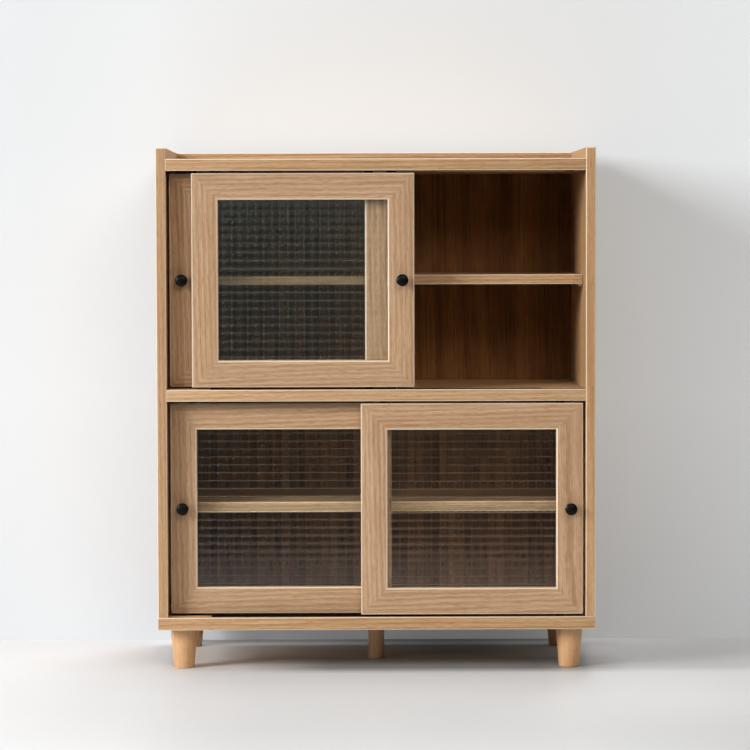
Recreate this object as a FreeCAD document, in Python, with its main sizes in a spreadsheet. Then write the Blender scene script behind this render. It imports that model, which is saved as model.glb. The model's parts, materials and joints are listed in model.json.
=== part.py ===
import FreeCAD, Part
import math
import os
import Sketcher
from types import SimpleNamespace

# Mizuya kitchen cabinet on legs, with two pairs of sliding doors glazed in checker glass.
# Millimetres. +Z is up, -Y is the front, and the origin is the middle of the footprint on the floor.

os.makedirs("parts", exist_ok=True)
doc = FreeCAD.newDocument("MizuyaCabinet")

# Every size that can be set by itself
sizes = {
    # Carcase
    "cabinet_width": 750.0,
    "carcase_depth": 350.0,
    "side_thickness": 17.0,
    "board_thickness": 20.0,
    "base_thickness": 21.5,
    "lower_opening": 371.0,
    "upper_opening": 373.5,
    "gallery_rise": 19.0,
    "gallery_thickness": 17.0,
    "edge_bevel": 0.8,
    # Back panels and the grooves that hold them
    "back_inset": 13.0,
    "back_thickness": 4.0,
    "back_hold": 5.5,
    "back_play": 0.5,
    "groove_clearance": 0.3,
    # Legs and their hanger bolts
    "leg_height": 70.0,
    "leg_top_diameter": 47.0,
    "leg_foot_diameter": 35.0,
    "leg_foot_bevel": 2.0,
    "leg_inset": 42.0,
    "leg_setback": 45.0,
    "centre_leg_diameter": 28.0,
    "centre_leg_setback": 151.0,
    "leg_bolt_diameter": 8.0,
    "leg_bolt_in_leg": 28.0,
    "leg_bolt_in_base": 13.0,
    # Doors
    "door_setback": 5.0,
    "door_thickness": 18.0,
    "door_spacing": 4.0,
    "door_side_gap": 4.2,
    "door_overlap": 53.4,
    "door_floor_gap": 4.0,
    "door_head_gap": 4.0,
    "frame_width": 45.5,
    "frame_bevel": 1.6,
    "door_edge_bevel": 1.0,
    # Glass
    "glass_setback": 7.0,
    "glass_thickness": 4.0,
    "glass_hold": 8.0,
    "glass_play": 1.0,
    "flute_pitch": 13.6,
    "flute_land": 1.6,
    "flute_depth": 0.6,
    # Knobs and their screws
    "knob_diameter": 20.8,
    "knob_projection": 20.0,
    "knob_head_length": 11.0,
    "knob_front_bevel": 3.2,
    "knob_back_bevel": 1.2,
    "knob_stem_diameter": 11.0,
    "knob_foot_diameter": 14.0,
    "knob_foot_thickness": 2.0,
    "knob_inset": 21.0,
    "knob_gap": 7.5,
    "screw_diameter": 4.0,
    "screw_bite": 9.0,
    "screw_head_diameter": 8.0,
    "screw_head_height": 2.6,
    "screw_sink": 0.4,
    "screw_slot_width": 1.0,
    "screw_slot_depth": 1.2,
    # Tracks, glides and stop strips
    "channel_width": 6.2,
    "track_wall": 1.6,
    "track_base": 1.5,
    "lift_clearance": 0.3,
    "glide_width": 5.6,
    "glide_length": 15.0,
    "glide_projection": 7.5,
    "glide_inset": 39.0,
    "glide_slope": 1.0,
    "glide_tenon_length": 11.0,
    "glide_tenon_thickness": 3.6,
    "glide_tenon_depth": 10.0,
    "stop_flange_width": 17.0,
    "stop_flange_thickness": 1.2,
    "stop_clearance": 0.3,
    # Shelves and the pins they rest on
    "shelf_thickness": 16.5,
    "shelf_setback": 60.0,
    "shelf_side_gap": 1.0,
    "shelf_back_gap": 3.0,
    "pin_diameter": 5.0,
    "pin_depth": 9.0,
    "pin_reach": 9.0,
    "pin_plate_width": 9.0,
    "pin_plate_thickness": 2.0,
    "pin_row_pitch": 32.0,
    "pin_setback": 32.0,
    # Cam fittings and dowels
    "cam_diameter": 15.0,
    "cam_depth": 12.5,
    "cam_backset": 24.0,
    "cam_setback": 62.0,
    "cap_diameter": 17.0,
    "cap_thickness": 1.6,
    "cam_bolt_diameter": 6.0,
    "cam_bolt_hold": 11.0,
    "dowel_diameter": 8.0,
    "dowel_length": 30.0,
    "dowel_hold": 11.0,
    "dowel_spacing": 32.0,
    "gallery_dowel_inset": 60.0,
    "gallery_dowel_length": 24.0,
    "gallery_dowel_rise": 12.0,
    "bore_clearance": 0.2,
    "bore_relief": 1.0,
}

pin_rows = 3
hidden_flats = 8
turned_flats = 32

sheet = doc.addObject("Spreadsheet::Sheet", "Sizes")
sheet.set("A1", "size in millimetres")
for row, (name, number) in enumerate(sizes.items(), start=2):
    sheet.set(f"A{row}", name)
    sheet.set(f"B{row}", str(number))
    sheet.setAlias(f"B{row}", name)
doc.recompute()


# A length that carries its formula in the sheet's names along with its value
class Length:
    def __init__(self, text, number):
        self.text = text
        self.number = number

    def combined(self, sign, other, number):
        return Length(f"({self.text} {sign} {wording(other)})", number)

    def __add__(self, other):
        return self.combined("+", other, self.number + amount(other))

    def __sub__(self, other):
        return self.combined("-", other, self.number - amount(other))

    def __mul__(self, other):
        return self.combined("*", other, self.number * amount(other))

    def __truediv__(self, other):
        return self.combined("/", other, self.number / amount(other))

    def __rmul__(self, other):
        return self * other

    def __neg__(self):
        return Length(f"(-{self.text})", -self.number)


def amount(value):
    return value.number if isinstance(value, Length) else value


def wording(value):
    return value.text if isinstance(value, Length) else str(value)


def whole(value):
    return Length(f"floor({value.text})", math.floor(value.number))


def bind(thing, path, value):
    if isinstance(value, Length):
        thing.setExpression(path, value.text)


size = SimpleNamespace(**{name: Length(f"Sizes.{name}", number) for name, number in sizes.items()})
nodes = []
cuts = []


def put(thing, x=0, y=0, z=0):
    bind(thing, "Placement.Base.x", x)
    bind(thing, "Placement.Base.y", y)
    bind(thing, "Placement.Base.z", z)


# Helpers for bodies, sketches and features
def new_body(label):
    body = doc.addObject("PartDesign::Body", label)
    body.Label = label
    nodes.append(body)
    return body


def origin_item(body, role):
    return next(item for item in body.Origin.OriginFeatures if item.Role == role)


def new_sketch(body, name, role, offset=0):
    sketch = body.newObject("Sketcher::SketchObject", f"{body.Name}_{name}")
    sketch.AttachmentSupport = [(origin_item(body, role), "")]
    sketch.MapMode = "FlatFace"
    bind(sketch, "AttachmentOffset.Base.z", offset)
    return sketch


def fix_point(sketch, element, point, x, y):
    for direction, value in (("DistanceX", x), ("DistanceY", y)):
        rule = Sketcher.Constraint(direction, -1, 1, element, point, float(amount(value)))
        bind(sketch, f"Constraints[{sketch.addConstraint(rule)}]", value)


def draw_outline(sketch, points):
    first = sketch.GeometryCount
    spots = [FreeCAD.Vector(amount(x), amount(y), 0) for x, y in points]
    for start, end in zip(spots, spots[1:] + spots[:1]):
        sketch.addGeometry(Part.LineSegment(start, end), False)
    for index in range(len(points)):
        following = first + (index + 1) % len(points)
        sketch.addConstraint(Sketcher.Constraint("Coincident", first + index, 2, following, 1))
    for index, (x, y) in enumerate(points):
        fix_point(sketch, first + index, 1, x, y)


def draw_box(sketch, x0, y0, x1, y1):
    draw_outline(sketch, [(x0, y0), (x1, y0), (x1, y1), (x0, y1)])


def draw_circles(sketch, places, diameter):
    up = FreeCAD.Vector(0, 0, 1)
    for x, y in places:
        centre = FreeCAD.Vector(amount(x), amount(y), 0)
        circle = sketch.addGeometry(Part.Circle(centre, up, amount(diameter) / 2), False)
        fix_point(sketch, circle, 3, x, y)
        rule = Sketcher.Constraint("Diameter", circle, amount(diameter))
        bind(sketch, f"Constraints[{sketch.addConstraint(rule)}]", diameter)


# Hidden hardware and its bores have a few flats inside the round of their diameter
def draw_flats(sketch, places, diameter):
    turns = [2 * math.pi * step / hidden_flats for step in range(hidden_flats)]
    corner_shares = [(math.cos(turn) / 2, math.sin(turn) / 2) for turn in turns]
    for x, y in places:
        draw_outline(sketch, [(diameter * across + x, diameter * up + y) for across, up in corner_shares])


def pad(body, name, sketch, length, backwards=False):
    feature = body.newObject("PartDesign::Pad", f"{body.Name}_{name}")
    feature.Profile = sketch
    feature.Reversed = backwards
    bind(feature, "Length", length)
    return feature


def pocket(body, name, sketch, length, backwards=False):
    feature = body.newObject("PartDesign::Pocket", f"{body.Name}_{name}")
    feature.Profile = sketch
    feature.Reversed = backwards
    bind(feature, "Length", length)
    cuts.append(feature)
    return feature


# Turned pieces are many-sided, close to the round of their diameter
def turning(body, name, role, level, diameter, height):
    feature = body.newObject("PartDesign::AdditivePrism", f"{body.Name}_{name}")
    feature.AttachmentSupport = [(origin_item(body, role), "")]
    feature.MapMode = "FlatFace"
    feature.Polygon = turned_flats
    bind(feature, "AttachmentOffset.Base.z", level)
    bind(feature, "Circumradius", diameter / 2)
    bind(feature, "Height", height)
    return feature


def mirrored(body, name, originals, role):
    feature = body.newObject("PartDesign::Mirrored", f"{body.Name}_{name}")
    feature.Originals = originals
    feature.MirrorPlane = (origin_item(body, role), [""])
    body.Tip = feature
    return feature


def repeated(body, name, original, role, pitch, count):
    feature = body.newObject("PartDesign::LinearPattern", f"{body.Name}_{name}")
    feature.Originals = [original]
    feature.Direction = (origin_item(body, role), [""])
    feature.Length = amount(pitch * (count - 1))
    feature.Occurrences = int(amount(count))
    bind(feature, "Length", pitch * (count - 1))
    bind(feature, "Occurrences", count)
    body.Tip = feature
    return feature


def bevelled(body, name, feature, wanted, width):
    doc.recompute()
    edges = [f"Edge{number}" for number, edge in enumerate(feature.Shape.Edges, start=1) if wanted(edge)]
    chamfer = body.newObject("PartDesign::Chamfer", f"{body.Name}_{name}")
    chamfer.Base = (feature, edges)
    bind(chamfer, "Size", width)
    return chamfer


# Tapers the upright faces of a pad outwards as they rise from its foot
def tapered(body, name, feature, spread, height):
    doc.recompute()
    upright = [
        f"Face{number}" for number, face in enumerate(feature.Shape.Faces, start=1)
        if same(face.normalAt(0, 0).z, 0)
    ]
    draft = body.newObject("PartDesign::Draft", f"{body.Name}_{name}")
    draft.Base = (feature, upright)
    draft.NeutralPlane = (origin_item(body, "XY_Plane"), [""])
    slope = spread / height
    draft.Angle = math.degrees(math.atan(amount(slope)))
    draft.Reversed = True
    draft.setExpression("Angle", f"atan({wording(slope)})")
    return draft


# Tests that pick edges by where they lie in their own piece
def same(a, b):
    return math.isclose(a, b, abs_tol=1e-6)


def lies_at(edge, axis, level):
    return all(same(getattr(vertex.Point, axis), level) for vertex in edge.Vertexes)


def runs_along(edge, axis):
    ends = [vertex.Point for vertex in edge.Vertexes]
    others = [other for other in "xyz" if other != axis]
    return len(ends) == 2 and all(same(getattr(ends[0], o), getattr(ends[1], o)) for o in others)


# Levels and lengths that follow from the sizes
inner_width = size.cabinet_width - 2 * size.side_thickness
inner_half = inner_width / 2
base_top = size.leg_height + size.base_thickness
middle_z = base_top + size.lower_opening
middle_top = middle_z + size.board_thickness
top_z = middle_top + size.upper_opening
top_top = top_z + size.board_thickness
cabinet_top = top_top + size.gallery_rise
knob_proud = size.knob_projection - size.door_setback
front_y = (knob_proud - size.carcase_depth) / 2

# Back panel groove, as depths behind the front edge of the carcase
back_face = size.carcase_depth - size.back_inset - size.back_thickness
groove_back = size.carcase_depth - size.back_inset + size.groove_clearance
groove_depth = size.back_hold + size.back_play

# Groove for the glass, behind the face of a door
glass_groove_front = size.glass_setback - size.groove_clearance / 2

# Doors and tracks, as depths behind the front edge of the carcase
door_pitch = size.door_thickness + size.door_spacing
front_channel = size.door_setback + size.door_thickness / 2
rear_channel = front_channel + door_pitch
track_front = front_channel - size.channel_width / 2 - size.track_wall
track_back = rear_channel + size.channel_width / 2 + size.track_wall
sill_channel_depth = size.glide_projection - size.door_floor_gap
head_channel_depth = size.glide_projection - size.door_head_gap + sill_channel_depth + size.lift_clearance
sill_depth = sill_channel_depth + size.track_base
head_depth = head_channel_depth + size.track_base
door_width = inner_half + size.door_overlap / 2 - size.door_side_gap
door_closed_reach = inner_half - size.door_side_gap
knob_reach = door_closed_reach - size.knob_inset - size.knob_diameter / 2
door_travel = door_closed_reach - door_width + knob_reach - size.knob_gap
door_open_left = door_closed_reach - door_width - door_travel
glide_end = size.glide_inset - size.glide_length / 2
stop_length = inner_half + door_open_left + glide_end - size.stop_clearance

# Fasteners, as depths behind the front edge of the carcase
cam_depths = [size.cam_setback, size.carcase_depth - size.cam_setback]
dowel_depths = [cam_depths[0] + size.dowel_spacing, cam_depths[1] - size.dowel_spacing]
bolt_bore = size.cam_bolt_diameter + size.bore_clearance
dowel_bore = size.dowel_diameter + size.bore_clearance
cam_bore = size.cam_diameter + size.bore_clearance
dowel_in_board = size.dowel_length - size.dowel_hold
side_middle = inner_half + size.side_thickness / 2
cam_plane_x = inner_half - size.cam_backset
board_levels = [middle_z, top_z]

# Shelves
shelf_width = inner_width - 2 * size.shelf_side_gap
shelf_depth = back_face - size.shelf_back_gap - size.shelf_setback
pin_depths = [size.shelf_setback + size.pin_setback, size.shelf_setback + shelf_depth - size.pin_setback]
lower_shelf_z = base_top + size.lower_opening / 2 - size.shelf_thickness / 2
upper_shelf_z = middle_top + size.upper_opening / 2 - size.shelf_thickness / 2
shelf_levels = [lower_shelf_z, upper_shelf_z]

# Legs
leg_x = size.cabinet_width / 2 - size.leg_inset
leg_places = {
    "front_left_leg": (-leg_x, size.leg_setback),
    "front_right_leg": (leg_x, size.leg_setback),
    "rear_left_leg": (-leg_x, size.carcase_depth - size.leg_setback),
    "rear_right_leg": (leg_x, size.carcase_depth - size.leg_setback),
    "centre_leg": (0, size.centre_leg_setback),
}


# Side panels: grooved for the backs, bored for shelf pins, cam bolts, dowels and cams
def side_panel(label, hand):
    body = new_body(label)
    put(body, y=front_y)
    inner_face = inner_half * hand
    left = hand < 0

    outline = new_sketch(body, "outline", "YZ_Plane", inner_face)
    draw_box(outline, 0, base_top, size.carcase_depth, cabinet_top)
    blank = pad(body, "blank", outline, size.side_thickness, left)

    def visible(edge):
        on_top = lies_at(edge, "z", blank.Shape.BoundBox.ZMax)
        return on_top or (lies_at(edge, "y", 0) and runs_along(edge, "z"))

    bevelled(body, "soft_edges", blank, visible, size.edge_bevel)

    groove = new_sketch(body, "groove_outline", "YZ_Plane", inner_face)
    draw_box(groove, back_face, base_top, groove_back, top_top)
    pocket(body, "back_groove", groove, groove_depth, not left)

    bolts = new_sketch(body, "bolt_places", "YZ_Plane", inner_face)
    bolt_rise = size.board_thickness / 2
    draw_flats(bolts, [(y, z + bolt_rise) for y in cam_depths for z in board_levels], bolt_bore)
    pocket(body, "bolt_bores", bolts, size.cam_bolt_hold + size.bore_relief, not left)

    dowels = new_sketch(body, "dowel_places", "YZ_Plane", inner_face)
    draw_flats(dowels, [(y, z + bolt_rise) for y in dowel_depths for z in board_levels], dowel_bore)
    pocket(body, "dowel_bores", dowels, size.dowel_hold + size.bore_relief, not left)

    cams = new_sketch(body, "cam_places", "YZ_Plane", inner_face)
    draw_flats(cams, [(y, base_top + size.cam_backset) for y in cam_depths], cam_bore)
    pocket(body, "cam_bores", cams, size.cam_depth, not left)

    rods = new_sketch(body, "rod_places", "XY_Plane", base_top)
    rod_x = side_middle * hand
    draw_flats(rods, [(rod_x, y) for y in cam_depths], bolt_bore)
    pocket(body, "rod_bores", rods, size.cam_backset, True)

    pegs = new_sketch(body, "peg_places", "XY_Plane", base_top)
    draw_flats(pegs, [(rod_x, y) for y in dowel_depths], dowel_bore)
    pocket(body, "peg_bores", pegs, dowel_in_board + size.bore_relief, True)

    for space, shelf_z in zip(("lower", "upper"), shelf_levels):
        pins = new_sketch(body, f"{space}_pin_places", "YZ_Plane", inner_face)
        lowest_row = shelf_z - size.pin_diameter / 2 - size.pin_row_pitch * (pin_rows // 2)
        draw_flats(pins, [(y, lowest_row) for y in pin_depths], size.pin_diameter + size.bore_clearance)
        row = pocket(body, f"{space}_pin_holes", pins, size.pin_depth + size.bore_relief, not left)
        repeated(body, f"{space}_pin_rows", row, "Z_Axis", size.pin_row_pitch, pin_rows)


# Bores in a horizontal board's underside and ends, for its cams, bolts and dowels
def board_bores(body):
    rise = size.board_thickness / 2
    cams = new_sketch(body, "cam_places", "XY_Plane")
    draw_flats(cams, [(x, y) for x in (-cam_plane_x, cam_plane_x) for y in cam_depths], cam_bore)
    pocket(body, "cam_bores", cams, size.cam_depth, True)
    for end, offset, inward in (("left", -inner_half, False), ("right", inner_half, True)):
        bolts = new_sketch(body, f"{end}_bolt_places", "YZ_Plane", offset)
        draw_flats(bolts, [(y, rise) for y in cam_depths], bolt_bore)
        pocket(body, f"{end}_bolt_bores", bolts, size.cam_backset, not inward)
        dowels = new_sketch(body, f"{end}_dowel_places", "YZ_Plane", offset)
        draw_flats(dowels, [(y, rise) for y in dowel_depths], dowel_bore)
        pocket(body, f"{end}_dowel_bores", dowels, dowel_in_board + size.bore_relief, not inward)


def front_long_edge(edge):
    return lies_at(edge, "y", 0) and runs_along(edge, "x")


# Top and middle boards: drawn as a section across the depth and run between the sides
def board(label, level, section):
    body = new_body(label)
    put(body, y=front_y, z=level)
    profile = new_sketch(body, "section", "YZ_Plane", -inner_half)
    draw_outline(profile, section)
    run = pad(body, "run", profile, inner_width)
    bevelled(body, "soft_edges", run, front_long_edge, size.edge_bevel)
    board_bores(body)
    return body


thick = size.board_thickness
under_cuts = [
    (0, 0),
    (track_front, 0),
    (track_front, head_depth),
    (track_back, head_depth),
    (track_back, 0),
    (back_face, 0),
    (back_face, groove_depth),
    (groove_back, groove_depth),
    (groove_back, 0),
    (size.carcase_depth, 0),
]
over_cuts = [
    (size.carcase_depth, thick),
    (groove_back, thick),
    (groove_back, thick - groove_depth),
    (back_face, thick - groove_depth),
    (back_face, thick),
    (track_back, thick),
    (track_back, thick - sill_depth),
    (track_front, thick - sill_depth),
    (track_front, thick),
    (0, thick),
]

side_panel("side_panel_left", -1)
side_panel("side_panel_right", 1)
top_board = board("top_board", top_z, under_cuts + [(size.carcase_depth, thick), (0, thick)])
gallery_dowels = [
    (x, size.carcase_depth - size.gallery_thickness / 2)
    for x in (size.gallery_dowel_inset - inner_half, 0, inner_half - size.gallery_dowel_inset)
]
gallery_bores = new_sketch(top_board, "gallery_dowel_places", "XY_Plane", thick)
draw_flats(gallery_bores, gallery_dowels, dowel_bore)
gallery_dowel_drop = size.gallery_dowel_length - size.gallery_dowel_rise
pocket(top_board, "gallery_dowel_bores", gallery_bores, gallery_dowel_drop + size.bore_relief)
board("middle_board", middle_z, under_cuts + over_cuts)


# Base board: full width under the sides, with stopped cuts between them and bores for the legs
def base_board():
    body = new_body("bottom_board")
    put(body, y=front_y, z=size.leg_height)
    outline = new_sketch(body, "outline", "XY_Plane")
    half = size.cabinet_width / 2
    draw_box(outline, -half, 0, half, size.carcase_depth)
    blank = pad(body, "blank", outline, size.base_thickness)

    def visible(edge):
        return front_long_edge(edge) or (runs_along(edge, "y") and lies_at(edge, "z", 0))

    bevelled(body, "soft_edges", blank, visible, size.edge_bevel)
    rebate = new_sketch(body, "track_rebate_outline", "XY_Plane", size.base_thickness)
    draw_box(rebate, -inner_half, track_front, inner_half, track_back)
    pocket(body, "track_rebate", rebate, sill_depth)
    groove = new_sketch(body, "groove_outline", "XY_Plane", size.base_thickness)
    groove_end = inner_half + groove_depth
    draw_box(groove, -groove_end, back_face, groove_end, groove_back)
    pocket(body, "back_groove", groove, groove_depth)

    bolts = new_sketch(body, "bolt_places", "XY_Plane", size.base_thickness)
    draw_flats(bolts, [(x, y) for x in (-side_middle, side_middle) for y in cam_depths], bolt_bore)
    pocket(body, "bolt_bores", bolts, size.cam_bolt_hold + size.bore_relief)
    dowels = new_sketch(body, "dowel_places", "XY_Plane", size.base_thickness)
    draw_flats(dowels, [(x, y) for x in (-side_middle, side_middle) for y in dowel_depths], dowel_bore)
    pocket(body, "dowel_bores", dowels, size.dowel_hold + size.bore_relief)

    legs = new_sketch(body, "leg_bolt_places", "XY_Plane")
    draw_flats(legs, list(leg_places.values()), size.leg_bolt_diameter + size.bore_clearance)
    pocket(body, "leg_bolt_bores", legs, size.leg_bolt_in_base + size.bore_relief, True)


base_board()


# Gallery rail that stands on the back of the top board
def gallery():
    body = new_body("gallery_rail")
    put(body, y=front_y + size.carcase_depth - size.gallery_thickness, z=top_top)
    outline = new_sketch(body, "outline", "XY_Plane")
    draw_box(outline, -inner_half, 0, inner_half, size.gallery_thickness)
    blank = pad(body, "blank", outline, size.gallery_rise)

    def visible(edge):
        return lies_at(edge, "z", blank.Shape.BoundBox.ZMax) and runs_along(edge, "x")

    bevelled(body, "soft_edges", blank, visible, size.edge_bevel)
    dowels = new_sketch(body, "dowel_places", "XY_Plane")
    draw_flats(dowels, [(x, size.gallery_thickness / 2) for x, _ in gallery_dowels], dowel_bore)
    pocket(body, "dowel_bores", dowels, size.gallery_dowel_rise + size.bore_relief, True)


gallery()


# Back panels, slid into the grooves and standing on the floor of the lower one
def back_panel(label, floor_z, opening, lower_hold):
    panel = doc.addObject("Part::Box", label)
    panel.Label = label
    nodes.append(panel)
    bind(panel, "Length", inner_width + 2 * size.back_hold)
    bind(panel, "Width", size.back_thickness)
    bind(panel, "Height", opening + lower_hold + size.back_hold)
    put(panel, -inner_half - size.back_hold, front_y + back_face, floor_z - lower_hold)


back_panel("lower_back_panel", base_top, size.lower_opening, groove_depth)
back_panel("upper_back_panel", middle_top, size.upper_opening, groove_depth)


# Twin-channel tracks: an extruded section with a hollow under the land between the channels
def track(label, depth, channel_depth, level, upside_down):
    body = new_body(label)
    put(body, y=front_y, z=level)
    half = size.channel_width / 2
    floor = size.track_base
    land_front = front_channel + half
    land_back = rear_channel - half
    points = [
        (track_front, 0),
        (land_front + size.track_wall, 0),
        (land_front + size.track_wall, depth - size.track_base),
        (land_back - size.track_wall, depth - size.track_base),
        (land_back - size.track_wall, 0),
        (track_back, 0),
        (track_back, depth),
        (rear_channel + half, depth),
        (rear_channel + half, floor),
        (land_back, floor),
        (land_back, depth),
        (land_front, depth),
        (land_front, floor),
        (front_channel - half, floor),
        (front_channel - half, depth),
        (track_front, depth),
    ]
    if upside_down:
        points = [(y, depth - z) for y, z in points]
    section = new_sketch(body, "section", "YZ_Plane", -inner_half)
    draw_outline(section, points)
    pad(body, "run", section, inner_width)


track("lower_sill_track", sill_depth, sill_channel_depth, base_top - sill_depth, False)
track("lower_head_track", head_depth, head_channel_depth, middle_z, True)
track("upper_sill_track", sill_depth, sill_channel_depth, middle_top - sill_depth, False)
track("upper_head_track", head_depth, head_channel_depth, top_z, True)


# Stop strips: a flange over the track with a tongue in the channel, one at the end of each sill channel
def stop_strips():
    strips = []
    ends = [("left", front_channel, -inner_half), ("right", rear_channel, inner_half - stop_length)]
    for space, level in (("lower", base_top), ("upper", middle_top)):
        for place, channel, x in ends:
            flange = doc.addObject("Part::Box", f"{space}_{place}_stop_flange")
            bind(flange, "Length", stop_length)
            bind(flange, "Width", size.stop_flange_width)
            bind(flange, "Height", size.stop_flange_thickness)
            put(flange, x, channel - size.stop_flange_width / 2, level)
            tongue = doc.addObject("Part::Box", f"{space}_{place}_stop_tongue")
            bind(tongue, "Length", stop_length)
            bind(tongue, "Width", size.glide_width)
            bind(tongue, "Height", sill_channel_depth)
            put(tongue, x, channel - size.glide_width / 2, level - sill_channel_depth)
            strip = doc.addObject("Part::Fuse", f"{space}_{place}_stop")
            strip.Base = flange
            strip.Tool = tongue
            strips.append(strip)
    group = doc.addObject("Part::Compound", "door_stops")
    group.Label = "door_stops"
    group.Links = strips
    put(group, y=front_y)
    nodes.append(group)


stop_strips()


# Turned legs: four tapered ones and a straight one under the middle, each bored for its hanger bolt
def leg(label, foot_diameter, top_diameter):
    body = new_body(label)
    x, y = leg_places[label]
    put(body, x, front_y + y)
    blank = turning(body, "turning", "XY_Plane", 0, foot_diameter, size.leg_height)
    if top_diameter is not foot_diameter:
        spread = (top_diameter - foot_diameter) / 2 * math.cos(math.pi / turned_flats)
        blank = tapered(body, "taper", blank, spread, size.leg_height)
    bevelled(body, "foot_bevel", blank, lambda edge: lies_at(edge, "z", 0), size.leg_foot_bevel)
    bore = new_sketch(body, "bolt_place", "XY_Plane", size.leg_height)
    draw_flats(bore, [(0, 0)], size.leg_bolt_diameter + size.bore_clearance)
    pocket(body, "bolt_bore", bore, size.leg_bolt_in_leg + size.bore_relief)


for label in leg_places:
    if label != "centre_leg":
        leg(label, size.leg_foot_diameter, size.leg_top_diameter)
leg("centre_leg", size.centre_leg_diameter, size.centre_leg_diameter)


# Hanger bolts that join the legs to the base board
def leg_bolts():
    places = list(leg_places.values())
    bolts = new_body("leg_hanger_bolts")
    put(bolts, y=front_y, z=size.leg_height - size.leg_bolt_in_leg)
    ends = new_sketch(bolts, "places", "XY_Plane")
    draw_flats(ends, places, size.leg_bolt_diameter)
    pad(bolts, "shanks", ends, size.leg_bolt_in_leg + size.leg_bolt_in_base)


leg_bolts()


# Cam fittings: discs under the boards' ends and in the feet of the sides, and the bolts they pull on
def cam_fittings():
    rise = size.board_thickness / 2
    discs = new_body("cam_discs")
    put(discs, y=front_y)
    originals = []
    for space, level in zip(("middle", "top"), board_levels):
        places = new_sketch(discs, f"{space}_places", "XY_Plane", level)
        draw_flats(places, [(-cam_plane_x, y) for y in cam_depths], size.cam_diameter)
        originals.append(pad(discs, f"{space}_discs", places, size.cam_depth))
    foot_level = base_top + size.cam_backset
    places = new_sketch(discs, "foot_places", "YZ_Plane", -inner_half)
    draw_flats(places, [(y, foot_level) for y in cam_depths], size.cam_diameter)
    originals.append(pad(discs, "foot_discs", places, size.cam_depth, True))
    slots = new_sketch(discs, "slot_places", "YZ_Plane", -inner_half)
    draw_flats(slots, [(y, z + rise) for y in cam_depths for z in board_levels], bolt_bore)
    originals.append(pocket(discs, "slots", slots, size.cam_backset, True))
    foot_slots = new_sketch(discs, "foot_slot_places", "XY_Plane", base_top)
    draw_flats(foot_slots, [(-side_middle, y) for y in cam_depths], bolt_bore)
    originals.append(pocket(discs, "foot_slots", foot_slots, size.cam_backset, True))
    mirrored(discs, "right_discs", originals, "YZ_Plane")

    caps = new_body("cam_caps")
    put(caps, y=front_y)
    originals = []
    for space, level in zip(("middle", "top"), board_levels):
        places = new_sketch(caps, f"{space}_places", "XY_Plane", level)
        draw_flats(places, [(-cam_plane_x, y) for y in cam_depths], size.cap_diameter)
        originals.append(pad(caps, f"{space}_caps", places, size.cap_thickness, True))
    places = new_sketch(caps, "foot_places", "YZ_Plane", -inner_half)
    draw_flats(places, [(y, foot_level) for y in cam_depths], size.cap_diameter)
    originals.append(pad(caps, "foot_caps", places, size.cap_thickness))
    mirrored(caps, "right_caps", originals, "YZ_Plane")

    bolts = new_body("cam_bolts")
    put(bolts, y=front_y)
    shank = size.cam_bolt_hold + size.cam_backset
    places = new_sketch(bolts, "board_places", "YZ_Plane", -inner_half - size.cam_bolt_hold)
    draw_flats(places, [(y, z + rise) for y in cam_depths for z in board_levels], size.cam_bolt_diameter)
    board_bolts = pad(bolts, "board_bolts", places, shank)
    places = new_sketch(bolts, "foot_places", "XY_Plane", base_top - size.cam_bolt_hold)
    draw_flats(places, [(-side_middle, y) for y in cam_depths], size.cam_bolt_diameter)
    foot_bolts = pad(bolts, "foot_bolts", places, shank)
    mirrored(bolts, "right_bolts", [board_bolts, foot_bolts], "YZ_Plane")


cam_fittings()


# Wood dowels that line up the same joints and carry the gallery rail
def wood_dowels():
    rise = size.board_thickness / 2
    body = new_body("wood_dowels")
    put(body, y=front_y)
    places = new_sketch(body, "board_places", "YZ_Plane", -inner_half - size.dowel_hold)
    draw_flats(places, [(y, z + rise) for y in dowel_depths for z in board_levels], size.dowel_diameter)
    board_dowels = pad(body, "board_dowels", places, size.dowel_length)
    places = new_sketch(body, "foot_places", "XY_Plane", base_top - size.dowel_hold)
    draw_flats(places, [(-side_middle, y) for y in dowel_depths], size.dowel_diameter)
    foot_dowels = pad(body, "foot_dowels", places, size.dowel_length)
    mirrored(body, "right_dowels", [board_dowels, foot_dowels], "YZ_Plane")
    places = new_sketch(body, "gallery_places", "XY_Plane", top_top - gallery_dowel_drop)
    draw_flats(places, gallery_dowels, size.dowel_diameter)
    pad(body, "gallery_dowels", places, size.gallery_dowel_length)


wood_dowels()


# Shelves, loose on their pins
def shelf(label, level):
    body = new_body(label)
    put(body, y=front_y + size.shelf_setback, z=level)
    outline = new_sketch(body, "outline", "XY_Plane")
    draw_box(outline, -shelf_width / 2, 0, shelf_width / 2, shelf_depth)
    blank = pad(body, "blank", outline, size.shelf_thickness)
    bevelled(body, "soft_edges", blank, front_long_edge, size.edge_bevel)


shelf("lower_shelf", lower_shelf_z)
shelf("upper_shelf", upper_shelf_z)


# Shelf pins: a round shank in the side and a flat plate under the shelf
def shelf_pins():
    body = new_body("shelf_pins")
    put(body, y=front_y)
    radius = size.pin_diameter / 2
    half = size.pin_plate_width / 2
    shanks = new_sketch(body, "shank_places", "YZ_Plane", -inner_half - size.pin_depth)
    draw_flats(shanks, [(y, z - radius) for y in pin_depths for z in shelf_levels], size.pin_diameter)
    shank_run = pad(body, "shanks", shanks, size.pin_depth + size.pin_reach / 2)
    plates = new_sketch(body, "plate_places", "YZ_Plane", -inner_half)
    for y in pin_depths:
        for z in shelf_levels:
            draw_box(plates, y - half, z - size.pin_plate_thickness, y + half, z)
    plate_run = pad(body, "plates", plates, size.pin_reach)
    mirrored(body, "right_pins", [shank_run, plate_run], "YZ_Plane")


shelf_pins()


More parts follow.
